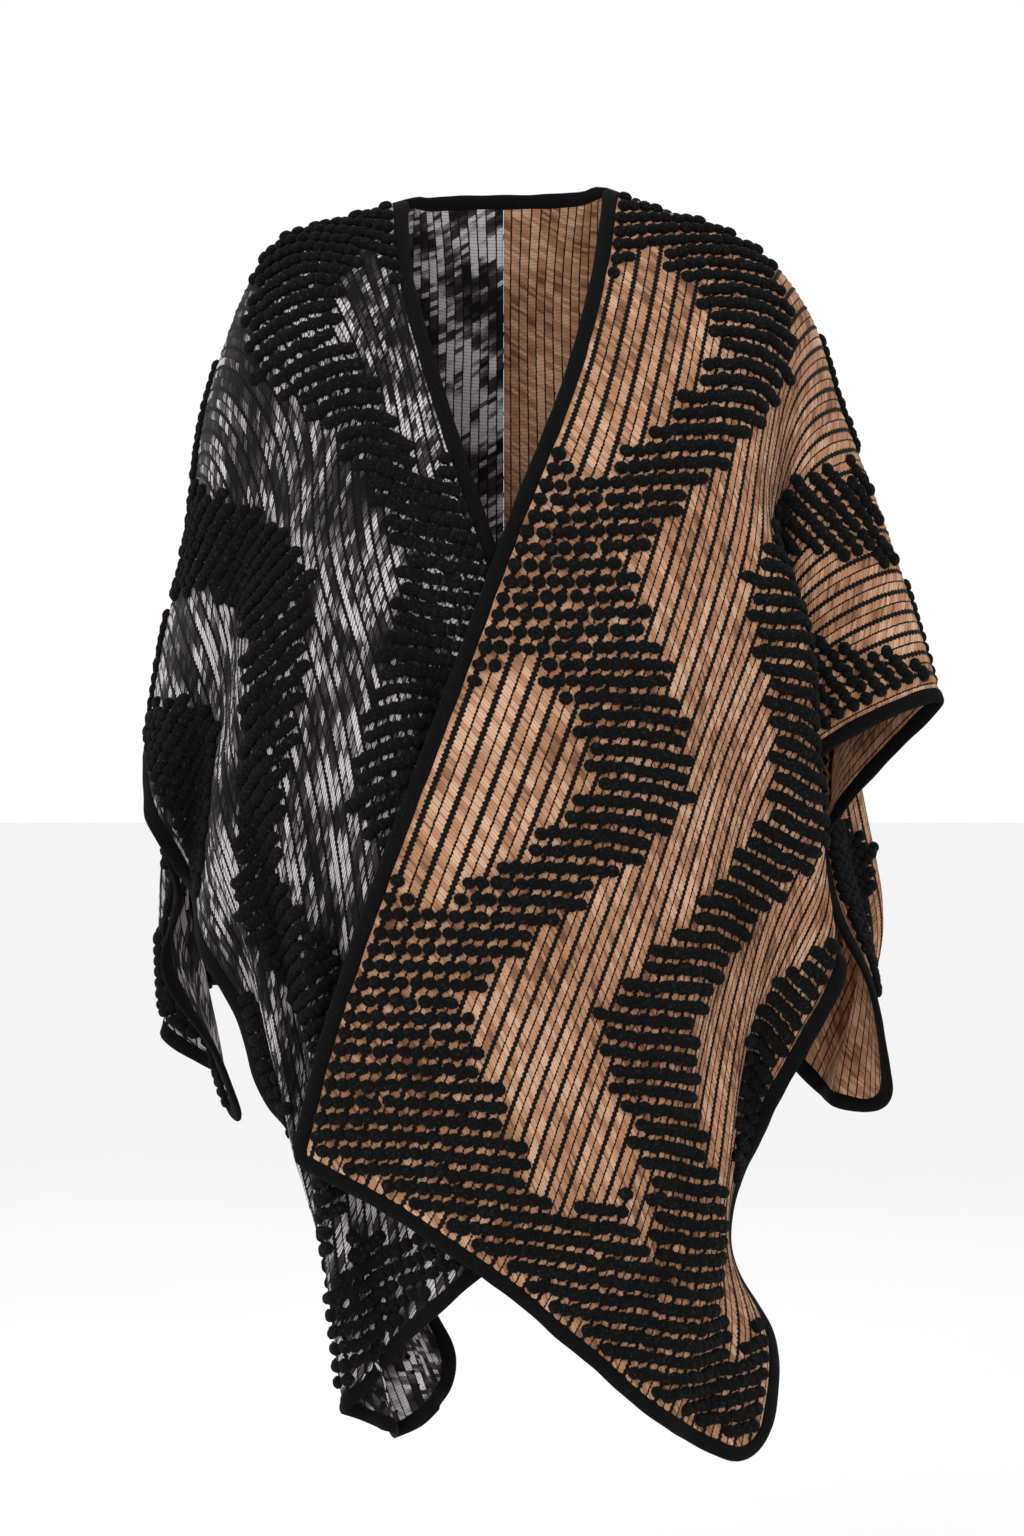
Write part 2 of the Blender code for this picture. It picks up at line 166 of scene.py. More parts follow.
RIGHT_BACK_FOLDS = (
    BackFold("arm", (0, 110, -95), (-95, 92, -82), (-188, 88, -105), (-247, 76, -170),
             (-280, 84, -270), (-306, 80, -405), (-325, 38, -585)),
    BackFold("tuck", (0, 124, -210), (-99, 120, -190), (-193, 114, -208), (-250, 106, -265),
             (-272, 114, -365), (-298, 112, -490), (-306, 42, -648)),
    BackFold("crest", (0, 132, -340), (-103, 132, -322), (-199, 126, -335), (-258, 124, -380),
             (-290, 132, -460), (-312, 118, -580), (-314, 25, -725)),
    BackFold("waist", (0, 140, -500), (-107, 142, -490), (-203, 142, -505), (-264, 142, -560),
             (-298, 138, -600), (-320, 108, -672), (-266, 5, -803)),
    BackFold("hem", (0, 148, -672), (-112, 150, -672), (-208, 152, -690), (-268, 150, -740),
             (-300, 138, -745), (-316, 96, -770), (-236, 25, -886)),
)

# One row for each panel: which way its outer face lies along the lattice's normal, how its knit is
# dyed, how far the bobble rows climb from one column to the next, and where the random draws start.
Panel = namedtuple("Panel", "ridge folds is_back outer slot row_lean seed")
PANELS = {
    "left_front": Panel(LEFT_RIDGE, LEFT_FRONT_FOLDS, False, -1, "camel_knit", 0.45, 11),
    "left_back": Panel(LEFT_RIDGE, LEFT_BACK_FOLDS, True, 1, "camel_knit", 0.0, 12),
    "right_front": Panel(RIGHT_RIDGE, RIGHT_FRONT_FOLDS, False, 1, "grey_knit", 0.45, 13),
    "right_back": Panel(RIGHT_RIDGE, RIGHT_BACK_FOLDS, True, -1, "grey_knit", 0.0, 14),
}

# The smaller creases that run down each panel: where each starts and ends on the cloth, its half width,
# and how far it stands out at its lower end. A negative depth is a trough.
Crease = namedtuple("Crease", "top_u top_v bottom_u bottom_v width depth")
CREASES = {
    "left_front": (
        Crease(60, 560, 52, 955, 34, 3),
        Crease(150, 330, 176, 955, 36, 4),
        Crease(236, 420, 262, 955, 30, -6),
        Crease(330, 260, 322, 955, 28, 8),
        Crease(392, 330, 385, 955, 26, -9),
        Crease(455, 300, 450, 955, 27, 9),
        Crease(520, 380, 512, 955, 25, -8),
    ),
    "left_back": (
        Crease(-62, 220, -70, 700, 23, 11),
        Crease(-14, 290, -20, 700, 22, -18),
        Crease(34, 190, 33, 700, 25, 12),
        Crease(90, 270, 86, 700, 23, -18),
        Crease(142, 210, 138, 700, 26, 13),
        Crease(198, 250, 194, 700, 24, -18),
        Crease(246, 140, 250, 700, 25, 12),
        Crease(300, 190, 306, 700, 24, -18),
        Crease(352, 130, 360, 700, 25, 11),
        Crease(410, 180, 415, 700, 24, -17),
        Crease(466, 150, 470, 700, 25, 10),
        Crease(520, 210, 526, 700, 24, -15),
    ),
    "right_front": (
        Crease(48, 200, 42, 955, 26, 10),
        Crease(104, 280, 110, 955, 26, -13),
        Crease(162, 250, 168, 955, 25, 14),
        Crease(214, 220, 222, 955, 30, 14),
        Crease(286, 330, 292, 955, 27, -16),
        Crease(348, 190, 352, 955, 28, 17),
        Crease(412, 280, 410, 955, 26, -17),
        Crease(474, 210, 468, 955, 27, 16),
        Crease(532, 310, 526, 955, 25, -16),
    ),
    "right_back": (
        Crease(-66, 170, -60, 700, 24, 15),
        Crease(-18, 140, -10, 700, 23, -23),
        Crease(40, 200, 44, 700, 25, 15),
        Crease(92, 130, 98, 700, 24, -23),
        Crease(150, 180, 152, 700, 25, 15),
        Crease(204, 100, 206, 700, 24, -23),
        Crease(260, 140, 258, 700, 26, 16),
        Crease(312, 70, 314, 700, 24, -23),
        Crease(366, 120, 368, 700, 25, 14),
        Crease(420, 70, 424, 700, 24, -22),
        Crease(472, 130, 478, 700, 25, 13),
        Crease(528, 100, 532, 700, 24, -20),
    ),
}

# The knit: a raised black chain every repeat, a thin dark line half-way, and a crowned rib on each
# side of that line. The profile gives the height of the outer face at places across one repeat.
REPEAT = 0.020
ProfilePoint = namedtuple("ProfilePoint", "place height")
WALE_PROFILE = (
    ProfilePoint(0, 1.2),
    ProfilePoint(2.6, 0.0),
    ProfilePoint(6.0, 0.8),
    ProfilePoint(10, 0.1),
    ProfilePoint(14.0, 0.8),
    ProfilePoint(17.4, 0.0),
    ProfilePoint(20, 1.2),
)
RELIEF_FADE = 0.003
ROW_STEP = 0.006
CORNER_ROWS = 9
CORNER_EASE = 0.100

# The bobbles stand on a grid of columns and rows. The motif is a plain stepped zigzag, with stepped
# triangles along the edges and a border over the hem.
COLUMN_PITCH = 0.010
ROW_PITCH = 0.0155
BOBBLE_RINGS = 5
BOBBLE_SIDES = 8
BOBBLE_LIFT = 0.45
EDGE_CLEARANCE = 0.020
ZIGZAG_PERIOD = 26
ZIGZAG_SWING = 8
ZIGZAG_SPACING = 24
ZIGZAG_HALF_WIDTH = 5
TRIANGLE_DEPTH = 10
BORDER_ROWS = 5
BORDER_PERIOD = 16

# The stitches in the finish: how far they lean across a rib, how far each rib starts below the last,
# and the chain's and the thin line's own sizes.
STITCH_LEAN = 0.58
STITCH_OFFSET = 0.37
CHAIN_STITCH = 0.0043
CHAIN_LEAN = 0.006
CHAIN_KNOB = 0.0026
CHAIN_EDGE = (0.0019, 0.0012)
DOT_PITCH = 0.0034
DOT_WIDTH = 0.0012
LINE_WIDTH = 0.0003
LINE_EDGE = (0.0004, 0.0)
INNER_LINE_EDGE = (0.0011, 0.0005)
INNER_STITCH = 0.0033
WANDER = 0.0016
INNER_WANDER = 0.0014

# The band's section, and how finely it is drawn.
BAND_SIDES = 14
BAND_OVERLAP = 0.0018
BAND_STEP = 0.005

# The stage and the view, in metres.
CAMERA_PLACE = (0.008, -3.5, -0.535)
LENS_MM = 88.54
SENSOR_MM = 36.0
FLOOR_HEIGHT = -1.45
FLOOR_RADIUS = 60.0
FLOOR_SIDES = 96


def smooth_curve(knots, values, places):
    """A smooth curve through the values at the knots, read at the places along it."""
    knots = np.asarray(knots, float)
    values = np.asarray(values, float)
    places = np.clip(np.asarray(places, float), knots[0], knots[-1])
    step = np.diff(knots)
    column = (-1,) + (1,) * (values.ndim - 1)
    slope = np.diff(values, axis=0) / step.reshape(column)
    weight = step.reshape(column)
    tangent = np.empty_like(values)
    tangent[0] = slope[0]
    tangent[-1] = slope[-1]
    tangent[1:-1] = (slope[:-1] * weight[1:] + slope[1:] * weight[:-1]) / (weight[1:] + weight[:-1])
    span = np.clip(np.searchsorted(knots, places, side="right") - 1, 0, len(step) - 1)
    width = step[span].reshape(column)
    t = (places - knots[span]).reshape(column) / width
    rise = values[span + 1] - values[span]
    return (values[span] + rise * (3 * t**2 - 2 * t**3)
            + width * tangent[span] * (t**3 - 2 * t**2 + t)
            + width * tangent[span + 1] * (t**3 - t**2))


def shoulder_line(ridge, across):
    """Points on the line of shoulder and arm, at distances across the half from the neck."""
    table = np.array(ridge, float) * MM
    side_and_height = smooth_curve(table[:, 0], table[:, 1:], across)
    return np.insert(side_and_height, 1, 0.0, axis=1)


def neck_line(ridge, across):
    """Points on the back of the neck: an arc from the centre back (-HALF_NECK) to the neck side (0)."""
    side = np.array((ridge[0].x, 0, ridge[0].z)) * MM
    nape = np.array(NAPE)
    reach = abs(side[0])
    radius = (reach**2 + nape[1]**2) / (2 * nape[1])
    widest = np.arcsin(reach / radius)
    share = across / HALF_NECK + 1
    angle = share * widest
    x = np.sign(side[0]) * radius * np.sin(angle)
    y = nape[1] - radius * (1 - np.cos(angle))
    z = nape[2] + (side[2] - nape[2]) * share**2
    return np.stack([x, y, z], axis=1)


def fold_lines(folds, places, across):
    """Every fold line of a table, read at distances across the half.

    A back's lines are carried past the centre by their own mirror image, so the two backs meet smoothly.
    """
    knots = np.array(list(places.values()), float) * MM
    lines = [np.array(fold[1:], float) * MM for fold in folds]
    if "centre" in places:
        knots = np.concatenate([[2 * knots[0] - knots[1]], knots])
        lines = [np.concatenate([line[1:2] * (-1, 1, 1), line]) for line in lines]
    return [smooth_curve(knots, line, across) for line in lines]


def even_path(stations, down):
    """A smooth path through the stations, read at distances down from the second one, at true length."""
    chords = np.linalg.norm(np.diff(stations, axis=0), axis=1) ** CHORD_POWER
    knots = np.concatenate([[0], np.cumsum(chords)])
    start = knots[1] / 2
    path = smooth_curve(knots, stations, np.linspace(start, knots[-1], PATH_SAMPLES))
    travelled = np.concatenate([[0], np.cumsum(np.linalg.norm(np.diff(path, axis=0), axis=1))])
    top = np.interp(knots[1], np.linspace(start, knots[-1], PATH_SAMPLES), travelled)
    places = top + down / down[-1] * (travelled[-1] - top)
    return np.stack([np.interp(places, travelled, path[:, axis]) for axis in range(3)], axis=1)


@lru_cache(maxsize=None)
def cloth_lattice(name):
    """The cloth of one panel as a fine lattice: rows down the cloth, columns across it."""
    panel = PANELS[name]
    low = -HALF_NECK - LATTICE_STEP if panel.is_back else 0.0
    across = np.linspace(low, PANEL_WIDTH, round((PANEL_WIDTH - low) / LATTICE_STEP) + 1)
    length = panel_length(panel)
    rows = round(length / LATTICE_STEP)
    down = np.arange(-1, rows + 1) * (length / rows)
    over_shoulder = shoulder_line(panel.ridge, np.maximum(across, 0))
    round_neck = neck_line(panel.ridge, np.minimum(across, 0))
    top = np.where((across < 0)[:, None], round_neck, over_shoulder)
    places = BACK_PLACES if panel.is_back else FRONT_PLACES
    own = fold_lines(panel.folds, places, across)
    beyond = first_fold_beyond(panel, across)
    if panel.is_back:
        # The cloth below the neck hangs from the neckline instead of coming over the shoulder.
        hung = np.clip(-across / NECK_BLEND, 0, 1)[:, None]
        beyond = beyond * (1 - hung) + (2 * top - own[0]) * hung
    stations = np.stack([beyond, top, *own])
    points = np.stack([even_path(stations[:, column], down) for column in range(len(across))], axis=1)
    return creased(name, across, down, soften(points, down))


def creased(name, across, down, points):
    """The lattice with its smaller creases pressed in, square to the cloth."""
    u, v = np.meshgrid(across, down)
    depth = np.zeros(u.shape)
    for crease in CREASES[name]:
        top_u, top_v, bottom_u, bottom_v, width, full = np.array(crease) * MM
        share = np.clip((v - top_v) / (bottom_v - top_v), 0, 1)
        centre = top_u + (bottom_u - top_u) * share
        depth += full * share**CREASE_ONSET * np.exp(-((u - centre) / width)**2)
    outward = read_normals((across, down, points), u, v) * PANELS[name].outer
    return across, down, points + outward * depth[..., None]


def panel_length(panel):
    """How long a panel is from the shoulder down."""
    return BACK_LENGTH if panel.is_back else FRONT_LENGTH


def first_fold_beyond(panel, across):
    """The first fold line of the panel on the other side of the shoulder, of the same half."""
    other = next(p for p in PANELS.values() if p.ridge is panel.ridge and p.is_back != panel.is_back)
    places = BACK_PLACES if other.is_back else FRONT_PLACES
    return fold_lines(other.folds[:1], places, across if other.is_back else np.maximum(across, 0))[0]


def soften(points, down):
    """Rounds the folds as thick knit does; near the shoulder the cloth stays on its line."""
    free = np.clip(down / SHOULDER_BLEND - 0.5, 0, 1)[1:-1, None, None]
    for _ in range(SOFTENING_PASSES):
        middle = (points[:-2] + points[2:]) / 2
        points[1:-1] += (middle - points[1:-1]) * free / 2
        between = (points[1:-1, :-2] + points[1:-1, 2:]) / 2
        points[1:-1, 1:-1] += (between - points[1:-1, 1:-1]) * free / 4
    return points


def read_lattice(lattice, u, v):
    """Points of the cloth at distances u across and v down it."""
    across, down, points = lattice
    column = np.clip((u - across[0]) / (across[1] - across[0]), 0, len(across) - 1.0001)
    row = np.clip((v - down[0]) / (down[1] - down[0]), 0, len(down) - 1.0001)
    j, i = column.astype(int), row.astype(int)
    s, t = (column - j)[..., None], (row - i)[..., None]
    upper = points[i, j] * (1 - s) + points[i, j + 1] * s
    lower = points[i + 1, j] * (1 - s) + points[i + 1, j + 1] * s
    return upper * (1 - t) + lower * t


def read_normals(lattice, u, v):
    """Unit vectors square to the cloth, at distances u across and v down it."""
    reach = LATTICE_STEP
    sideways = read_lattice(lattice, u + reach, v) - read_lattice(lattice, u - reach, v)
    downwards = read_lattice(lattice, u, v + reach) - read_lattice(lattice, u, v - reach)
    normal = np.cross(sideways, downwards)
    return normal / np.linalg.norm(normal, axis=-1, keepdims=True)


def draw_in(distance, radius):
    """How far a round corner draws the side in, at a distance from the hem."""
    missing = np.clip(radius - distance, 0, radius)
    return radius - np.sqrt(radius**2 - missing**2)


def wale_places(low, high):
    """Places across a panel that follow the wales, with one at each end."""
    offsets = np.array([point.place for point in WALE_PROFILE[:-1]]) * MM
    repeats = np.arange(np.floor(low / REPEAT), np.ceil(high / REPEAT) + 1) * REPEAT
    inside = (repeats[:, None] + offsets).ravel()
    inside = inside[(inside > low + MM) & (inside < high - MM)]
    return np.concatenate([[low], inside, [high]])


def panel_grid(panel):
    """Distances across and down for a panel's points, which stop short of the bands and the seams."""
    inset = BAND_WIDTH + SEAM_GAP
    length = panel_length(panel) - inset
    radius = OUTER_CORNER - inset
    top = SEAM_GAP / 2
    straight = length - radius
    rows = np.linspace(top, straight, round(straight / ROW_STEP) + 1)
    corner = straight + radius * np.sin(np.linspace(0, np.pi / 2, CORNER_ROWS + 1))[1:]
    down = np.concatenate([rows, corner])
    high = PANEL_WIDTH - inset
    low = SEAM_GAP / 2 - HALF_NECK if panel.is_back else inset
    across = wale_places(low, high)
    # Near the round corners the columns draw together.
    drawn_high = draw_in(length - down, radius)[:, None]
    near_high = np.clip((across - high) / CORNER_EASE + 1, 0, 1)
    u = across - drawn_high * near_high
    if not panel.is_back:
        drawn_low = draw_in(length - down, FRONT_CORNER - inset)[:, None]
        u += drawn_low * np.clip((low - across) / CORNER_EASE + 1, 0, 1)
        return u, np.repeat(down[:, None], len(across), axis=1)
    # Under the neck band the back starts lower.
    start = np.interp(across, (inset, inset + STEP_WIDTH), (inset + SEAM_GAP * 2, top))
    v = start + (length - start) * ((down - top) / (length - top))[:, None]
    return u, v


def cut_area(panel):
    """The flat area of a panel inside its bands."""
    u, v = panel_grid(panel)
    height = (v[1:, :-1] - v[:-1, :-1] + v[1:, 1:] - v[:-1, 1:]) / 2
    width = (u[:-1, 1:] - u[:-1, :-1] + u[1:, 1:] - u[1:, :-1]) / 2
    return float((height * width).sum())


def relief(u, panel):
    """How far the wales raise the outer face, at distances across the panel."""
    places = [point.place * MM for point in WALE_PROFILE]
    heights = [point.height * MM for point in WALE_PROFILE]
    inset = BAND_WIDTH + SEAM_GAP
    low = -HALF_NECK if panel.is_back else inset
    edge = np.minimum(u - low, PANEL_WIDTH - inset - u)
    return np.interp(u % REPEAT, places, heights) * np.clip(edge / RELIEF_FADE, 0, 1)


def lay_on_points(layers, cloth_uv=None):
    """A flat grid, or a flat slab, whose points are moved to the given ones: layers, rows, columns."""
    count, rows, columns = layers.shape[:3]
    builder = bmesh.new()
    bmesh.ops.create_grid(builder, x_segments=columns - 1, y_segments=rows - 1, size=0.5)
    if count == 2:
        raised = bmesh.ops.extrude_face_region(builder, geom=builder.faces[:])["geom"]
        upper = [item for item in raised if isinstance(item, bmesh.types.BMVert)]
        bmesh.ops.translate(builder, verts=upper, vec=(0.0, 0.0, 1.0))
    spots = {}
    for vertex in builder.verts:
        column = round((vertex.co.x + 0.5) * (columns - 1))
        row = round((vertex.co.y + 0.5) * (rows - 1))
        spots[vertex.index] = (round(vertex.co.z), row, column)
    if cloth_uv is not None:
        lay_uv(builder, spots, cloth_uv)
    for vertex in builder.verts:
        vertex.co = layers[spots[vertex.index]]
    return builder


def lay_uv(builder, spots, cloth_uv):
    """Writes the cloth's own coordinates to the UV map, and marks the inner faces for the second finish."""
    layer = builder.loops.layers.uv.new("cloth")
    for face in builder.faces:
        levels = set()
        for loop in face.loops:
            level, row, column = spots[loop.vert.index]
            levels.add(level)
            loop[layer].uv = cloth_uv[row, column]
        face.material_index = 1 if levels == {0} else 0


def face_outwards(builder):
    """Points the faces of a closed body away from its inside."""
    bmesh.ops.recalc_face_normals(builder, faces=builder.faces)
    if builder.calc_volume(signed=True) < 0:
        bmesh.ops.reverse_faces(builder, faces=builder.faces)


def as_mesh(builder, name):
    """The builder's shape as a mesh."""
    mesh = bpy.data.meshes.new(name)
    builder.to_mesh(mesh)
    builder.free()
    return mesh


def add_piece(name, mesh, materials, slot, *nodes):
    """A finished piece that rides on the wrap's body, in place of the plain solids it covers."""
    mesh.name = name
    for material in materials:
        mesh.materials.append(material)
    mesh.shade_smooth()
    piece = bpy.data.objects.new(name, mesh)
    bpy.context.scene.collection.objects.link(piece)
    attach(piece, BODY)
    if nodes:
        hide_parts(*nodes)
    return piece


def knit_panel(name, sizes):
    """The mesh of one knit panel: a thin wall with raised wales on its outer face."""
    panel = PANELS[name]
    lattice = cloth_lattice(name)
    u, v = panel_grid(panel)
    points = read_lattice(lattice, u, v)
    outward = read_normals(lattice, u, v) * panel.outer
    raised = (sizes.wall / 2 + relief(u, panel) * sizes.relief)[..., None]
    layers = np.stack([points - outward * sizes.wall / 2, points + outward * raised])
    builder = lay_on_points(layers, np.stack([u, v], axis=-1))
    face_outwards(builder)
    return as_mesh(builder, name)


def in_zigzag(column, row):
    """Whether a bobble place lies in one of the stepped zigzags that run down a panel."""
    phase = row % ZIGZAG_PERIOD
    swing = ZIGZAG_SWING * (1 - abs(phase * 4 / ZIGZAG_PERIOD - 2))
    step = 2 * round(swing / 2)
    centre = ZIGZAG_SPACING / 2 + step
    place = (column - centre + ZIGZAG_SPACING / 2) % ZIGZAG_SPACING - ZIGZAG_SPACING / 2
    return abs(place) <= ZIGZAG_HALF_WIDTH


def in_triangles(column, row):
    """Whether a bobble place lies in the stepped triangles along the front edge."""
    phase = (row + ZIGZAG_PERIOD / 2) % ZIGZAG_PERIOD
    depth = TRIANGLE_DEPTH - abs(phase - ZIGZAG_PERIOD / 2)
    return column < depth


def in_border(column, row, rows):
    """Whether a bobble place lies in the stepped border over the hem."""
    step = 2 * (abs(column % BORDER_PERIOD - BORDER_PERIOD / 2) // 4)
    return row >= rows - BORDER_ROWS - step


def bobble_places(name):
    """Where the bobbles of one panel stand: distances across and down."""
    panel = PANELS[name]
    low = -HALF_NECK + COLUMN_PITCH / 2 if panel.is_back else EDGE_CLEARANCE
    high = PANEL_WIDTH - EDGE_CLEARANCE
    length = panel_length(panel)
    first = int(np.ceil(low / COLUMN_PITCH))
    last = int(np.floor(high / COLUMN_PITCH))
    rows = int(length / ROW_PITCH)
    places = []
    for column in range(first, last + 1):
        u = column * COLUMN_PITCH
        climb = panel.row_lean * u
        bottom = length - EDGE_CLEARANCE - float(draw_in(PANEL_WIDTH - u, OUTER_CORNER))
        for row in range(0, rows + int(climb / ROW_PITCH) + 2):
            v = row * ROW_PITCH - climb
            top = EDGE_CLEARANCE if u < EDGE_CLEARANCE and panel.is_back else COLUMN_PITCH / 2
            if not top < v < bottom:
                continue
            straight_row = v / ROW_PITCH
            if in_border(column, straight_row, rows) or in_zigzag(column, row) or in_triangles(column, row):
                places.append((u, v))
    return np.array(places)


def row_of_balls(count):
    """A mesh of equal unit balls, one after another, and how many points each has."""
    builder = bmesh.new()
    bmesh.ops.create_uvsphere(builder, u_segments=BOBBLE_SIDES, v_segments=BOBBLE_RINGS, radius=1.0)
    points_each = len(builder.verts)
    ball = bpy.data.objects.new("ball", as_mesh(builder, "ball"))
    bpy.context.scene.collection.objects.link(ball)
    row = ball.modifiers.new("row", "ARRAY")
    row.count = count
    row.use_relative_offset = False
    depsgraph = bpy.context.evaluated_depsgraph_get()
    mesh = bpy.data.meshes.new_from_object(ball.evaluated_get(depsgraph))
    bpy.data.objects.remove(ball, do_unlink=True)
    return mesh, points_each


def bobbles(name, sizes):
    """The mesh of one panel's bobbles: squashed balls of yarn that stand on its outer face."""
    panel = PANELS[name]
    draw = np.random.default_rng(panel.seed)
    lattice = cloth_lattice(name)
    places = bobble_places(name)
    count = len(places)
    u, v = (places + draw.normal(0, 0.0007, places.shape)).T
    points = read_lattice(lattice, u, v)
    out = read_normals(lattice, u, v) * panel.outer
    down = read_lattice(lattice, u, v + LATTICE_STEP) - read_lattice(lattice, u, v - LATTICE_STEP)
    side = np.cross(down, out)
    side /= np.linalg.norm(side, axis=1, keepdims=True)
    along = np.cross(out, side)
    half = np.array((sizes.bobble_width, sizes.bobble_length, sizes.bobble_height)) / 2
    stretch = half * (1 + draw.normal(0, 0.06, (count, 3)))
    spin = draw.uniform(0, np.pi, (count, 1))
    mesh, points_each = row_of_balls(count)
    ball = np.empty(count * points_each * 3)
    mesh.vertices.foreach_get("co", ball)
    ball = ball.reshape(count, points_each, 3)
    x = (ball[..., 0] * np.cos(spin) - ball[..., 1] * np.sin(spin)) * stretch[:, :1]
    y = (ball[..., 0] * np.sin(spin) + ball[..., 1] * np.cos(spin)) * stretch[:, 1:2]
    z = ball[..., 2] * stretch[:, 2:] + sizes.wall / 2 + half[2] * BOBBLE_LIFT
    turned = x[..., None] * side[:, None] + y[..., None] * along[:, None] + z[..., None] * out[:, None]
    mesh.vertices.foreach_set("co", (points[:, None] + turned).ravel())
    mesh.update()
    return mesh


def band_rings(lattice, u, v, sizes):
    """The rings of a band sewn round the points (u, v) of a panel's edge.

    The points run with the outside of the panel a quarter turn round from their direction.
    """
    along = np.stack([np.gradient(u), np.gradient(v)])
    along *= LATTICE_STEP / np.linalg.norm(along, axis=0)
    edge = read_lattice(lattice, u, v)
    normal = read_normals(lattice, u, v)
    ahead = read_lattice(lattice, u + along[0], v + along[1])
    behind = read_lattice(lattice, u - along[0], v - along[1])
    outward = np.cross(normal, ahead - behind)
    outward /= np.linalg.norm(outward, axis=1, keepdims=True)
    travelled = np.concatenate([[0], np.cumsum(np.linalg.norm(np.diff(edge, axis=0), axis=1))])
    plump = 1 + sizes.band_unevenness * (np.sin(travelled * 170) + np.sin(travelled * 97 + 1)) / 2
    width = BAND_WIDTH + BAND_OVERLAP
    middle = SEAM_GAP - BAND_OVERLAP + width / 2
    rings = []
    for turn in np.linspace(0, 2 * np.pi, BAND_SIDES + 1):
        reach = middle + width / 2 * np.cos(turn) * plump
        height = BAND_THICKNESS / 2 * np.sin(turn) * plump
        rings.append(edge + outward * reach[:, None] + normal * height[:, None])
    return np.stack(rings, axis=1)


def even_edge(u, v):
    """Points along an edge at even steps, with the corners kept round."""
    travelled = np.concatenate([[0], np.cumsum(np.hypot(np.diff(u), np.diff(v)))])
    places = np.linspace(0, travelled[-1], round(travelled[-1] / BAND_STEP))
    return np.interp(places, travelled, u), np.interp(places, travelled, v)


def band(name, sizes):
    """The rings of the band round one panel: a front's from the neck down, round the hem and up."""
    panel = PANELS[name]
    u, v = panel_grid(panel)
    if panel.is_back:
        edge = [np.concatenate([g[-1, :-1], g[::-1, -1]]) for g in (u, v)]
    else:
        edge = [np.concatenate([g[:, 0], g[-1, 1:-1], g[::-1, -1]]) for g in (u, v)]
    return band_rings(cloth_lattice(name), *even_edge(*edge), sizes)


def half_neck_band(name, sizes):
    """Half of the neck's band: from the front band to the centre back."""
    inset = BAND_WIDTH + SEAM_GAP
    steps = round((HALF_NECK + inset) / BAND_STEP)
    u = np.linspace(inset, SEAM_GAP / 2 - HALF_NECK, steps)
    v = np.full(steps, inset + SEAM_GAP * 2)
    return band_rings(cloth_lattice(name), u, v, sizes)


def band_tube(rings):
    """Rings joined into a tube with both ends closed."""
    builder = lay_on_points(rings[None])
    bmesh.ops.remove_doubles(builder, verts=builder.verts, dist=MM * 0.01)
    open_edges = [edge for edge in builder.edges if edge.is_boundary]
    bmesh.ops.holes_fill(builder, edges=open_edges, sides=0)
    face_outwards(builder)
    return as_mesh(builder, "band")


class Wiring:
    """Adds shader nodes to one node tree and joins them."""

    def __init__(self, tree):
        self.tree = tree

    def add(self, kind, **settings):
        """A new node of the kind, with its settings."""
        node = self.tree.nodes.new(kind)
        for name, value in settings.items():
            setattr(node, name, value)
        return node

    def feed(self, socket, value):
        """Joins another node's socket to this one, or sets it to a plain value."""
        if isinstance(value, bpy.types.NodeSocket):
            self.tree.links.new(value, socket)
        else:
            socket.default_value = value

    def math(self, operation, *values, clamp=False):
        """One arithmetic step."""
        node = self.add("ShaderNodeMath", operation=operation, use_clamp=clamp)
        for socket, value in zip(node.inputs, values):
            self.feed(socket, value)
        return node.outputs[0]

    def plus(self, *values, clamp=False):
        """A sum."""
        return self.math("ADD", *values, clamp=clamp)

    def minus(self, *values):
        """A difference."""
        return self.math("SUBTRACT", *values)

    def times(self, *values):
        """A product."""
        return self.math("MULTIPLY", *values)

    def over(self, *values):
        """A quotient."""
        return self.math("DIVIDE", *values)

    def steps(self, value, low, high, low_out=0.0, high_out=1.0):
        """A soft step of the value from low to high."""
        node = self.add("ShaderNodeMapRange", interpolation_type="SMOOTHSTEP")
        for socket, number in zip(node.inputs, (value, low, high, low_out, high_out)):
            self.feed(socket, number)
        return node.outputs[0]

    def noise(self, vector, scale, detail=2.0, roughness=0.5):
        """Soft noise over the vector, from 0 to 1."""
        node = self.add("ShaderNodeTexNoise")
        self.feed(node.inputs["Vector"], vector)
        self.feed(node.inputs["Scale"], scale)
        self.feed(node.inputs["Detail"], detail)
        self.feed(node.inputs["Roughness"], roughness)
        return node.outputs["Fac"]

    def random(self, vector):
        """A random value for each place of the vector."""
        node = self.add("ShaderNodeTexWhiteNoise", noise_dimensions="3D")
        self.feed(node.inputs["Vector"], vector)
        return node.outputs["Value"]

    def vector(self, x=0.0, y=0.0, z=0.0):
        """A vector of three values."""
        node = self.add("ShaderNodeCombineXYZ")
        for socket, value in zip(node.inputs, (x, y, z)):
            self.feed(socket, value)
        return node.outputs[0]

    def split(self, vector):
        """The three values of a vector."""
        node = self.add("ShaderNodeSeparateXYZ")
        self.feed(node.inputs[0], vector)
        return node.outputs

    def mix(self, share, first, second):
        """A mix of two colours."""
        node = self.add("ShaderNodeMix", data_type="RGBA")
        self.feed(node.inputs["Factor"], share)
        self.feed(node.inputs["A"], first)
        self.feed(node.inputs["B"], second)
        for socket in node.outputs:
            if socket.type == "RGBA":
                return socket
        raise RuntimeError("a colour mix has no colour output")

    def bump(self, height, strength, distance):
        """A normal bent by the height."""
        node = self.add("ShaderNodeBump")
        self.feed(node.inputs["Height"], height)
        self.feed(node.inputs["Strength"], strength)
        self.feed(node.inputs["Distance"], distance)
        return node.outputs[0]


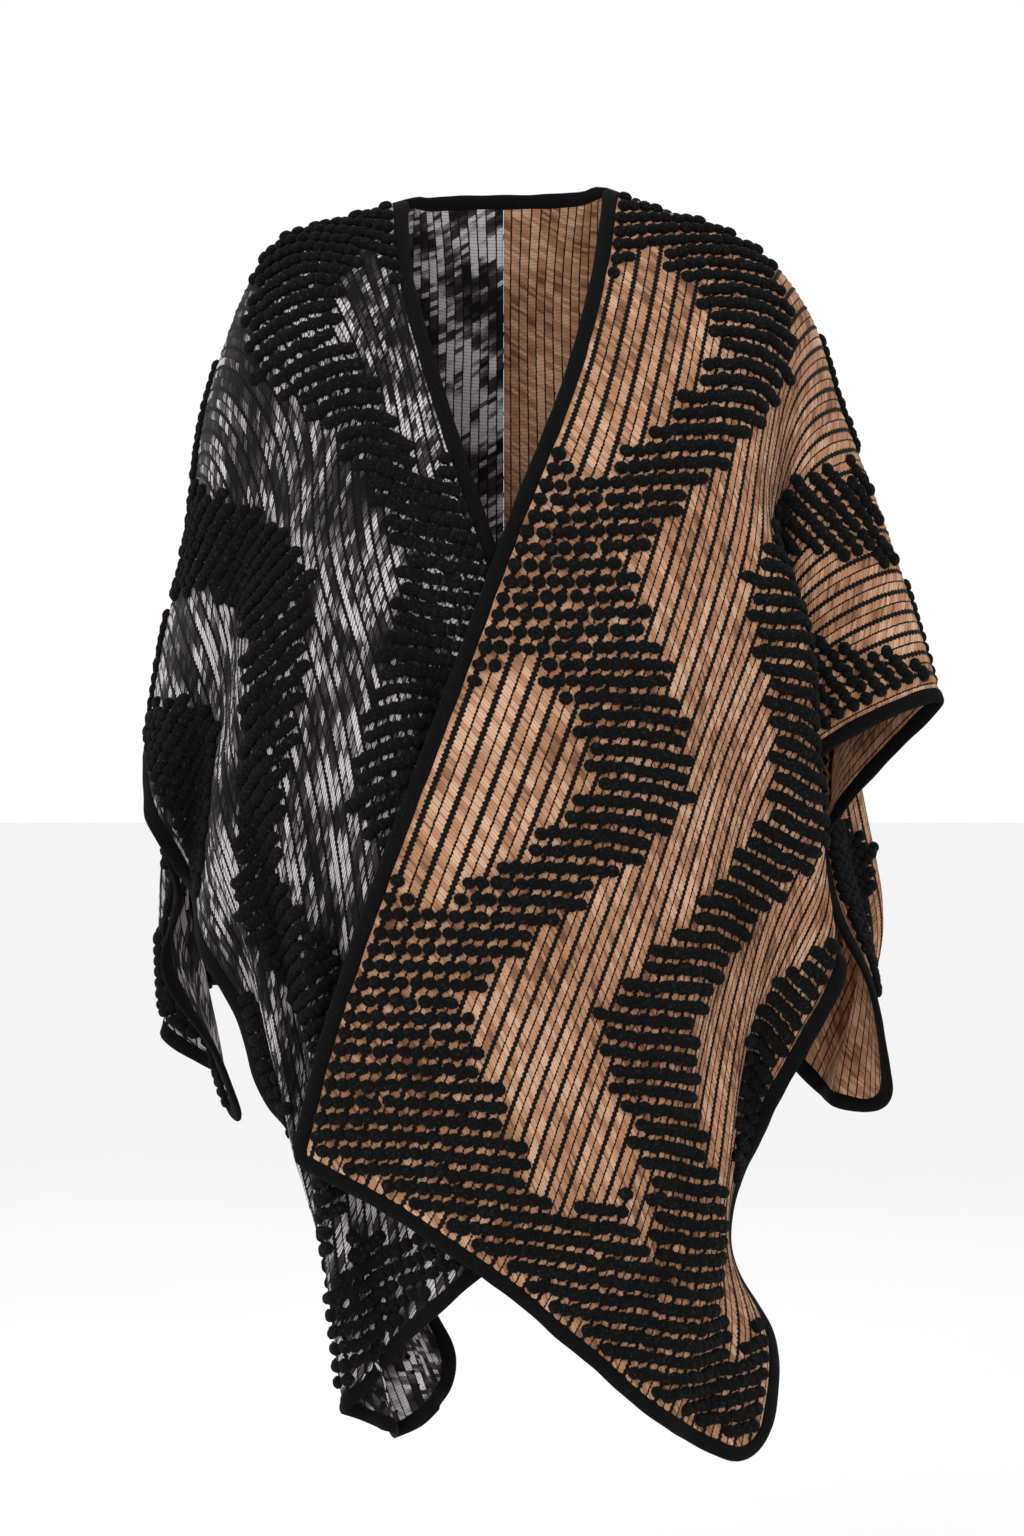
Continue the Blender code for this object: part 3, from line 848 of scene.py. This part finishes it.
def new_group(name, inputs, outputs):
    """An empty shader node group with named sockets, and the wiring inside it."""
    tree = bpy.data.node_groups.new(name, "ShaderNodeTree")
    for socket_name, socket_type in inputs:
        tree.interface.new_socket(socket_name, in_out="INPUT", socket_type=socket_type)
    for socket_name, socket_type in outputs:
        tree.interface.new_socket(socket_name, in_out="OUTPUT", socket_type=socket_type)
    wiring = Wiring(tree)
    entry = wiring.add("NodeGroupInput")
    leave = wiring.add("NodeGroupOutput")
    return wiring, entry.outputs, leave.inputs


VALUE = "NodeSocketFloat"
VECTOR = "NodeSocketVector"


def stitch_count(wiring, u, v, pitch):
    """How many stitches down the rib a place lies; the stitches lean, and each rib has its own start."""
    rib = wiring.math("FLOOR", wiring.over(u, REPEAT / 2))
    level = wiring.math("MULTIPLY_ADD", u, -STITCH_LEAN, v)
    return wiring.math("MULTIPLY_ADD", rib, STITCH_OFFSET, wiring.over(level, pitch))


def outer_wales():
    """The group for the outer face: masks of the black chain and the thin line, and the stitch relief."""
    wiring, given, result = new_group(
        "outer_wales", [("Cloth", VECTOR), ("Stitch Pitch", VALUE)],
        [("Chain", VALUE), ("Line", VALUE), ("Dashes", VALUE), ("Height", VALUE)])
    u, v, _ = wiring.split(given["Cloth"])
    wobble = wiring.noise(given["Cloth"], 260.0, 1.0)
    shift = wiring.times(wiring.minus(wobble, 0.5), WANDER)
    moved = wiring.plus(u, shift)
    repeats = wiring.over(moved, REPEAT)
    from_chain = wiring.math("PINGPONG", repeats, 0.5)
    distance = wiring.times(from_chain, REPEAT)
    # The chain's stitches lie slanted, so its sides are knobbly.
    lean = wiring.times(wiring.minus(wiring.math("FRACT", repeats), 0.5), CHAIN_LEAN)
    stitch = wiring.math("PINGPONG", wiring.over(wiring.plus(v, lean), CHAIN_STITCH), 0.5)
    knob = wiring.times(stitch, CHAIN_KNOB)
    chain_edge = wiring.minus(distance, knob)
    chain = wiring.steps(chain_edge, *CHAIN_EDGE)
    from_line = wiring.minus(REPEAT / 2, distance)
    dots = wiring.math("PINGPONG", wiring.over(v, DOT_PITCH), 0.5)
    line_width = wiring.math("MULTIPLY_ADD", dots, DOT_WIDTH, LINE_WIDTH)
    line = wiring.steps(wiring.minus(from_line, line_width), *LINE_EDGE)
    # Fine slanted stitches cross each rib.
    rib = wiring.math("PINGPONG", wiring.over(moved, REPEAT / 2), 0.5)
    dash = wiring.math("PINGPONG", stitch_count(wiring, u, v, given["Stitch Pitch"]), 0.5)
    dashes = wiring.times(dash, 2.0)
    fibre = wiring.noise(wiring.vector(wiring.times(u, 3.0), v, 0.0), 900.0, 2.0)
    chain_height = wiring.times(chain, wiring.plus(wiring.times(stitch, 1.6), 0.5))
    rib_height = wiring.times(wiring.plus(dashes, rib), 0.45)
    height = wiring.math("MAXIMUM", chain_height, rib_height)
    height = wiring.plus(height, wiring.times(fibre, 0.35))
    wiring.feed(result["Chain"], chain)
    wiring.feed(result["Line"], line)
    wiring.feed(result["Dashes"], dashes)
    wiring.feed(result["Height"], height)
    return wiring.tree


def inner_wales():
    """The group for the reverse: thin black lines a rib apart, with fine stitches between them."""
    wiring, given, result = new_group(
        "inner_wales", [("Cloth", VECTOR)], [("Line", VALUE), ("Dashes", VALUE), ("Height", VALUE)])
    u, v, _ = wiring.split(given["Cloth"])
    wobble = wiring.noise(given["Cloth"], 240.0, 1.0)
    wobble = wiring.times(wiring.minus(wobble, 0.5), INNER_WANDER)
    moved = wiring.plus(u, wobble)
    rib = wiring.math("PINGPONG", wiring.over(moved, REPEAT / 2), 0.5)
    distance = wiring.times(rib, REPEAT / 2)
    line = wiring.steps(distance, *INNER_LINE_EDGE)
    dash = wiring.math("PINGPONG", wiring.over(wiring.plus(v, wobble), INNER_STITCH), 0.5)
    dashes = wiring.times(dash, 2.0)
    height = wiring.plus(wiring.times(rib, 1.2), wiring.times(dashes, 0.4))
    wiring.feed(result["Line"], line)
    wiring.feed(result["Dashes"], dashes)
    wiring.feed(result["Height"], height)
    return wiring.tree


def yarn_dye():
    """The group for the dye: how light the yarn is at each stitch, in long streaks down each rib."""
    wiring, given, result = new_group(
        "yarn_dye", [("Cloth", VECTOR), ("Streak Length", VALUE), ("Contrast", VALUE), ("Grain", VALUE),
                     ("Stitch Pitch", VALUE)],
        [("Lightness", VALUE)])
    u, v, _ = wiring.split(given["Cloth"])
    rib = wiring.math("FLOOR", wiring.over(u, REPEAT / 2))
    along = wiring.over(v, given["Streak Length"])
    own = wiring.noise(wiring.vector(wiring.times(rib, 3.7), along, 0.0), 1.0, 2.0, 0.6)
    broad = wiring.vector(wiring.times(u, 9.0), wiring.times(along, 0.6), 7.0)
    wide = wiring.noise(broad, 1.0, 2.0)
    count = wiring.math("ROUND", stitch_count(wiring, u, v, given["Stitch Pitch"]))
    stitch = wiring.random(wiring.vector(rib, count, 0.0))
    both = wiring.plus(wiring.times(own, 0.55), wiring.times(wide, 0.45))
    loud = wiring.times(wiring.minus(both, 0.5), given["Contrast"])
    fibres = wiring.noise(given["Cloth"], 1500.0, 2.0, 0.6)
    loose = wiring.plus(wiring.minus(stitch, 0.5), wiring.minus(fibres, 0.5))
    grain = wiring.times(loose, given["Grain"])
    lightness = wiring.plus(wiring.plus(loud, grain), 0.5, clamp=True)
    wiring.feed(result["Lightness"], lightness)
    return wiring.tree


def black_fuzz():
    """The group for black yarn: soft clumps of fibre, with a painted glint where they stand highest."""
    wiring, given, result = new_group(
        "black_fuzz", [("Place", VECTOR), ("Clump Scale", VALUE)], [("Glint", VALUE), ("Height", VALUE)])
    clumps = wiring.noise(given["Place"], given["Clump Scale"], 4.0, 0.7)
    fibres = wiring.noise(given["Place"], 2600.0, 2.0, 0.6)
    height = wiring.plus(clumps, wiring.times(fibres, 0.35))
    # Painted glint: the highest fibre clumps are given a lighter tone.
    wiring.feed(result["Glint"], wiring.steps(height, 0.70, 1.05))
    wiring.feed(result["Height"], height)
    return wiring.tree


def use_group(wiring, tree, **given):
    """Places a group in a material with its own values."""
    node = wiring.add("ShaderNodeGroup")
    node.node_tree = tree
    for name, value in given.items():
        wiring.feed(node.inputs[name.replace("_", " ")], value)
    return node.outputs


def new_material(name, roughness, sheen, specular=0.2):
    """A woollen finish with a soft nap, and the wiring of its node tree."""
    material = bpy.data.materials.new(name)
    material.use_nodes = True
    shader = material.node_tree.nodes["Principled BSDF"]
    shader.inputs["Roughness"].default_value = roughness
    shader.inputs["Metallic"].default_value = 0.0
    shader.inputs["Specular IOR Level"].default_value = specular
    shader.inputs["Sheen Weight"].default_value = sheen
    shader.inputs["Sheen Roughness"].default_value = 0.5
    return material, shader, Wiring(material.node_tree)


def cloth_place(wiring):
    """The cloth's own coordinates on a panel."""
    node = wiring.add("ShaderNodeUVMap")
    node.uv_map = "cloth"
    return node.outputs["UV"]


Dye = namedtuple("Dye", "dark middle light streak contrast grain gap pitch")
# How each dye runs: the length of its streaks, their contrast, how much single stitches differ, how
# strongly painted shade darkens the gaps between stitches, and the pitch of the stitches.
DyeRun = namedtuple("DyeRun", "streak contrast grain gap pitch")
DYE_RUNS = {
    "camel": DyeRun(0.055, 2.4, 0.6, 0.5, 0.0032),
    "grey": DyeRun(0.050, 5.6, 0.7, 0.95, 0.0048),
}
# A knit's roughness, sheen and gloss, and how strongly painted shade darkens the gaps between stitches on the
# reverse.
KNIT_SHEEN = (0.92, 0.05, 0.1)
INNER_GAP_SHADE = 0.4
# Each black yarn: the lit colour of the painted glint on the tops of its fibre clumps, and the size of its
# clumps.
BlackNap = namedtuple("BlackNap", "lit_colour clump_scale")
BLACK_NAPS = {
    "bobble": BlackNap((0.060, 0.055, 0.053, 1.0), 420.0),
    "band": BlackNap((0.030, 0.028, 0.027, 1.0), 700.0),
}


def knit_outer(name, dye, black, groups):
    """The outer face of a knit: black chains and thin lines over dyed ribs, with painted shade between
    stitches.
    """
    material, shader, wiring = new_material(name, *KNIT_SHEEN)
    place = cloth_place(wiring)
    wales = use_group(wiring, groups["outer_wales"], Cloth=place, Stitch_Pitch=dye.pitch)
    # Painted shade: the yarn is darkened towards its dark colour in the gaps between the slanted stitches.
    between = wiring.times(wiring.steps(wales["Dashes"], 0.5, 0.0), dye.gap)
    yarn = wiring.mix(between, dyed_yarn(wiring, place, dye, groups), dye.dark)
    marks = wiring.math("MAXIMUM", wales["Chain"], wales["Line"])
    wiring.feed(shader.inputs["Base Color"], wiring.mix(marks, yarn, black))
    wiring.feed(shader.inputs["Normal"], wiring.bump(wales["Height"], 0.75, 0.0011))
    return material


def knit_inner(name, dye, black, groups):
    """The reverse of a knit: dyed ribs with a thin black line between them, and painted shade between
    stitches.
    """
    material, shader, wiring = new_material(name, *KNIT_SHEEN)
    place = cloth_place(wiring)
    wales = use_group(wiring, groups["inner_wales"], Cloth=place)
    # Painted shade: the yarn is darkened towards its dark colour in the gaps between the stitches.
    between = wiring.times(wiring.steps(wales["Dashes"], 0.5, 0.05), INNER_GAP_SHADE)
    yarn = wiring.mix(between, dyed_yarn(wiring, place, dye, groups), dye.dark)
    wiring.feed(shader.inputs["Base Color"], wiring.mix(wales["Line"], yarn, black))
    wiring.feed(shader.inputs["Normal"], wiring.bump(wales["Height"], 0.6, 0.0008))
    return material


def dyed_yarn(wiring, place, dye, groups):
    """The yarn's colour down the ribs, from dark through middle to light."""
    tone = use_group(wiring, groups["yarn_dye"], Cloth=place, Streak_Length=dye.streak, Contrast=dye.contrast,
                     Grain=dye.grain, Stitch_Pitch=dye.pitch)
    lower = wiring.mix(wiring.steps(tone["Lightness"], 0.05, 0.5), dye.dark, dye.middle)
    return wiring.mix(wiring.steps(tone["Lightness"], 0.5, 0.95), lower, dye.light)


def black_yarn(name, colour, lit_colour, clump_scale, groups):
    """Soft black yarn, with painted glints on its fibre clumps."""
    material, shader, wiring = new_material(name, 0.9, 0.02, 0.04)
    place = wiring.add("ShaderNodeTexCoord").outputs["Object"]
    fuzz = use_group(wiring, groups["black_fuzz"], Place=place, Clump_Scale=clump_scale)
    # Painted glint: the black is mixed towards the lit colour where the fibre clumps stand highest.
    wiring.feed(shader.inputs["Base Color"], wiring.mix(fuzz["Glint"], colour, lit_colour))
    wiring.feed(shader.inputs["Normal"], wiring.bump(fuzz["Height"], 0.9, 0.0012))
    return material


def pale_paint():
    """The stage's plain pale surface, with a faint mottle."""
    material, shader, wiring = new_material("stage_paint", 0.95, 0.0)
    place = wiring.add("ShaderNodeTexCoord").outputs["Object"]
    mottle = wiring.noise(place, 1.5, 2.0)
    colour = wiring.mix(mottle, (0.88, 0.88, 0.88, 1), (0.91, 0.91, 0.905, 1))
    wiring.feed(shader.inputs["Base Color"], colour)
    return material


def finish(name):
    """A finish by its name, made with its groups the first time it is asked for."""
    if name in bpy.data.materials:
        return bpy.data.materials[name]
    makers = (outer_wales, inner_wales, yarn_dye, black_fuzz)
    groups = {make.__name__: bpy.data.node_groups.get(make.__name__) or make() for make in makers}
    yarns = bpy.context.scene.wrap_yarns
    black = (*yarns.black, 1.0)
    yarn, kind = name.split("_")
    if kind == "yarn":
        return black_yarn(name, black, *BLACK_NAPS[yarn], groups)
    shades = [(*getattr(yarns, yarn + ending), 1.0) for ending in ("_dark", "", "_light")]
    make_knit = {"outer": knit_outer, "inner": knit_inner}[kind]
    return make_knit(name, Dye(*shades, *DYE_RUNS[yarn]), black, groups)


class WrapSizes(bpy.types.PropertyGroup):
    """Sizes of the knit, its bobbles and its bands."""

    wall: FloatProperty(name="Wall", description="Thickness of the knit", default=WALL, unit="LENGTH")
    relief: FloatProperty(name="Relief", description="How strongly the wales stand out", default=1.0)
    bobble_width: FloatProperty(
        name="Bobble Width", description="Size of a bobble across the wales", default=0.0143, unit="LENGTH")
    bobble_length: FloatProperty(
        name="Bobble Length", description="Size of a bobble along the wales", default=0.0126, unit="LENGTH")
    bobble_height: FloatProperty(
        name="Bobble Height", description="Thickness of a bobble", default=0.0094, unit="LENGTH")
    band_unevenness: FloatProperty(
        name="Band Unevenness", description="How much the band's thickness varies", default=0.05)


class WrapYarns(bpy.types.PropertyGroup):
    """Colours of the yarns."""

    black: FloatVectorProperty(
        name="Black", description="Chains, bobbles and bands", subtype="COLOR",
        default=(0.0045, 0.0042, 0.0042))
    # Each yarn's dark colour is both its darkest dye and the painted shade in the gaps between stitches.
    camel_dark: FloatVectorProperty(
        name="Camel Dark", description="Shade between the stitches", subtype="COLOR",
        default=(0.150, 0.068, 0.037))
    camel: FloatVectorProperty(
        name="Camel", description="Body of the camel yarn", subtype="COLOR", default=(0.410, 0.205, 0.112))
    camel_light: FloatVectorProperty(
        name="Camel Light", description="Lightest stitches", subtype="COLOR", default=(0.620, 0.395, 0.265))
    # The grey's dark colour is both its darkest dye and the painted shade in the gaps between stitches.
    grey_dark: FloatVectorProperty(
        name="Grey Dark", description="Darkest dye", subtype="COLOR", default=(0.007, 0.0065, 0.0065))
    grey: FloatVectorProperty(
        name="Grey", description="Middle dye", subtype="COLOR", default=(0.042, 0.036, 0.037))
    grey_light: FloatVectorProperty(
        name="Grey Light", description="Undyed wool", subtype="COLOR", default=(0.600, 0.560, 0.575))


class WrapStage(bpy.types.PropertyGroup):
    """Light of the stage."""

    key_power: FloatProperty(name="Key Light", description="Power of the large front light", default=45.0)
    fill_power: FloatProperty(name="Fill Light", description="Power of each side light", default=12.0)
    sky: FloatProperty(name="Sky", description="Strength of the light from all round", default=1.0)


class WRAP_OT_panels(bpy.types.Operator):
    """Makes the four knit panels"""

    bl_idname = "wrap.panels"
    bl_label = "Knit Panels"

    def execute(self, context):
        sizes = context.scene.wrap_sizes
        for name, panel in PANELS.items():
            dye = panel.slot.split("_")[0]
            materials = [finish(dye + "_outer"), finish(dye + "_inner")]
            add_piece(name + "_knit", knit_panel(name, sizes), materials, panel.slot, name)
        return {"FINISHED"}


class WRAP_OT_bobbles(bpy.types.Operator):
    """Makes the bobbles of every panel, joined into one piece for each"""

    bl_idname = "wrap.bobbles"
    bl_label = "Bobbles"

    def execute(self, context):
        sizes = context.scene.wrap_sizes
        for name in PANELS:
            add_piece(name + "_bobbles", bobbles(name, sizes), [finish("bobble_yarn")], "black_yarn")
        return {"FINISHED"}


class WRAP_OT_bands(bpy.types.Operator):
    """Makes the soft bands sewn over the edges"""

    bl_idname = "wrap.bands"
    bl_label = "Bands"

    def execute(self, context):
        sizes = context.scene.wrap_sizes
        for name in PANELS:
            tube = band_tube(band(name, sizes))
            add_piece(name + "_binding", tube, [finish("band_yarn")], "black_yarn", name + "_band")
        left = half_neck_band("left_back", sizes)
        right = half_neck_band("right_back", sizes)
        # The right half's normals point the other way, so its rings are turned over to match.
        neck = np.concatenate([left, right[-2::-1, ::-1]])
        add_piece("neck_binding", band_tube(neck), [finish("band_yarn")], "black_yarn", "neck_band")
        return {"FINISHED"}


class WRAP_OT_cloth_facts(bpy.types.Operator):
    """Works out the flat area of each panel inside its bands"""

    bl_idname = "wrap.cloth_facts"
    bl_label = "Cloth Facts"

    def execute(self, context):
        for name, panel in PANELS.items():
            cut_area(panel)
        return {"FINISHED"}


class WRAP_OT_stage(bpy.types.Operator):
    """Makes the pale floor, the lights and the camera"""

    bl_idname = "wrap.stage"
    bl_label = "Stage"

    def execute(self, context):
        make_floor()
        make_lights(context.scene.wrap_stage)
        make_camera(context.scene)
        context.scene.view_settings.view_transform = "Standard"
        return {"FINISHED"}


class WRAP_PT_sidebar(bpy.types.Panel):
    """Shows the wrap's settings and steps in the sidebar"""

    bl_label = "Knit Wrap"
    bl_idname = "WRAP_PT_sidebar"
    bl_space_type = "VIEW_3D"
    bl_region_type = "UI"
    bl_category = "Knit Wrap"

    def draw(self, context):
        layout = self.layout
        for settings in (context.scene.wrap_sizes, context.scene.wrap_yarns, context.scene.wrap_stage):
            for name in settings.__annotations__:
                layout.prop(settings, name)
        for step in OPERATORS:
            layout.operator(step.bl_idname)


OPERATORS = (WRAP_OT_panels, WRAP_OT_bobbles, WRAP_OT_bands, WRAP_OT_cloth_facts, WRAP_OT_stage)
CLASSES = (WrapSizes, WrapYarns, WrapStage, *OPERATORS, WRAP_PT_sidebar)


def make_floor():
    """A wide pale floor below the hem."""
    builder = bmesh.new()
    bmesh.ops.create_circle(builder, cap_ends=True, segments=FLOOR_SIDES, radius=FLOOR_RADIUS)
    bmesh.ops.translate(builder, verts=builder.verts, vec=(0.0, 0.0, FLOOR_HEIGHT))
    mesh = as_mesh(builder, "floor")
    mesh.materials.append(pale_paint())
    floor = bpy.data.objects.new("floor", mesh)
    bpy.context.scene.collection.objects.link(floor)


Light = namedtuple("Light", "name place size power")


def make_lights(settings):
    """Large soft lights in front, to both sides and above."""
    lights = (
        Light("key_light", (-1.6, -3.4, 1.3), 2.4, settings.key_power),
        Light("left_fill_light", (2.6, -2.2, 0.3), 2.2, settings.fill_power),
        Light("right_fill_light", (-2.8, -0.6, 0.2), 2.0, settings.fill_power),
        Light("back_light", (0.6, 2.2, 1.8), 2.4, settings.fill_power),
    )
    target = Vector((0.0, 0.0, -0.55))
    for light in lights:
        data = bpy.data.lights.new(light.name, "AREA")
        data.shape = "SQUARE"
        data.size = light.size
        data.energy = light.power
        lamp = bpy.data.objects.new(light.name, data)
        lamp.location = light.place
        lamp.rotation_euler = (target - Vector(light.place)).to_track_quat("-Z", "Y").to_euler()
        bpy.context.scene.collection.objects.link(lamp)
    world = bpy.data.worlds.new("soft_sky")
    world.use_nodes = True
    background = world.node_tree.nodes["Background"]
    background.inputs["Color"].default_value = (1.0, 1.0, 1.0, 1.0)
    background.inputs["Strength"].default_value = settings.sky
    bpy.context.scene.world = world


def make_camera(scene):
    """The camera, level with the waist and straight in front."""
    data = bpy.data.cameras.new("camera")
    data.lens = LENS_MM
    data.sensor_width = SENSOR_MM
    camera = bpy.data.objects.new("camera", data)
    camera.location = CAMERA_PLACE
    camera.rotation_euler = (np.pi / 2, 0.0, 0.0)
    scene.collection.objects.link(camera)
    scene.camera = camera


def register():
    """Makes the classes and the settings known."""
    for item in CLASSES:
        bpy.utils.register_class(item)
    bpy.types.Scene.wrap_sizes = PointerProperty(type=WrapSizes)
    bpy.types.Scene.wrap_yarns = PointerProperty(type=WrapYarns)
    bpy.types.Scene.wrap_stage = PointerProperty(type=WrapStage)


def unregister():
    """Takes the settings and the classes away again."""
    del bpy.types.Scene.wrap_stage
    del bpy.types.Scene.wrap_yarns
    del bpy.types.Scene.wrap_sizes
    for item in reversed(CLASSES):
        bpy.utils.unregister_class(item)


def main():
    """Makes everything in order and works out the panels' flat areas."""
    register()
    bpy.ops.wrap.panels()
    bpy.ops.wrap.bobbles()
    bpy.ops.wrap.bands()
    bpy.ops.wrap.cloth_facts()
    bpy.ops.wrap.stage()


if __name__ == "__main__":
    main()
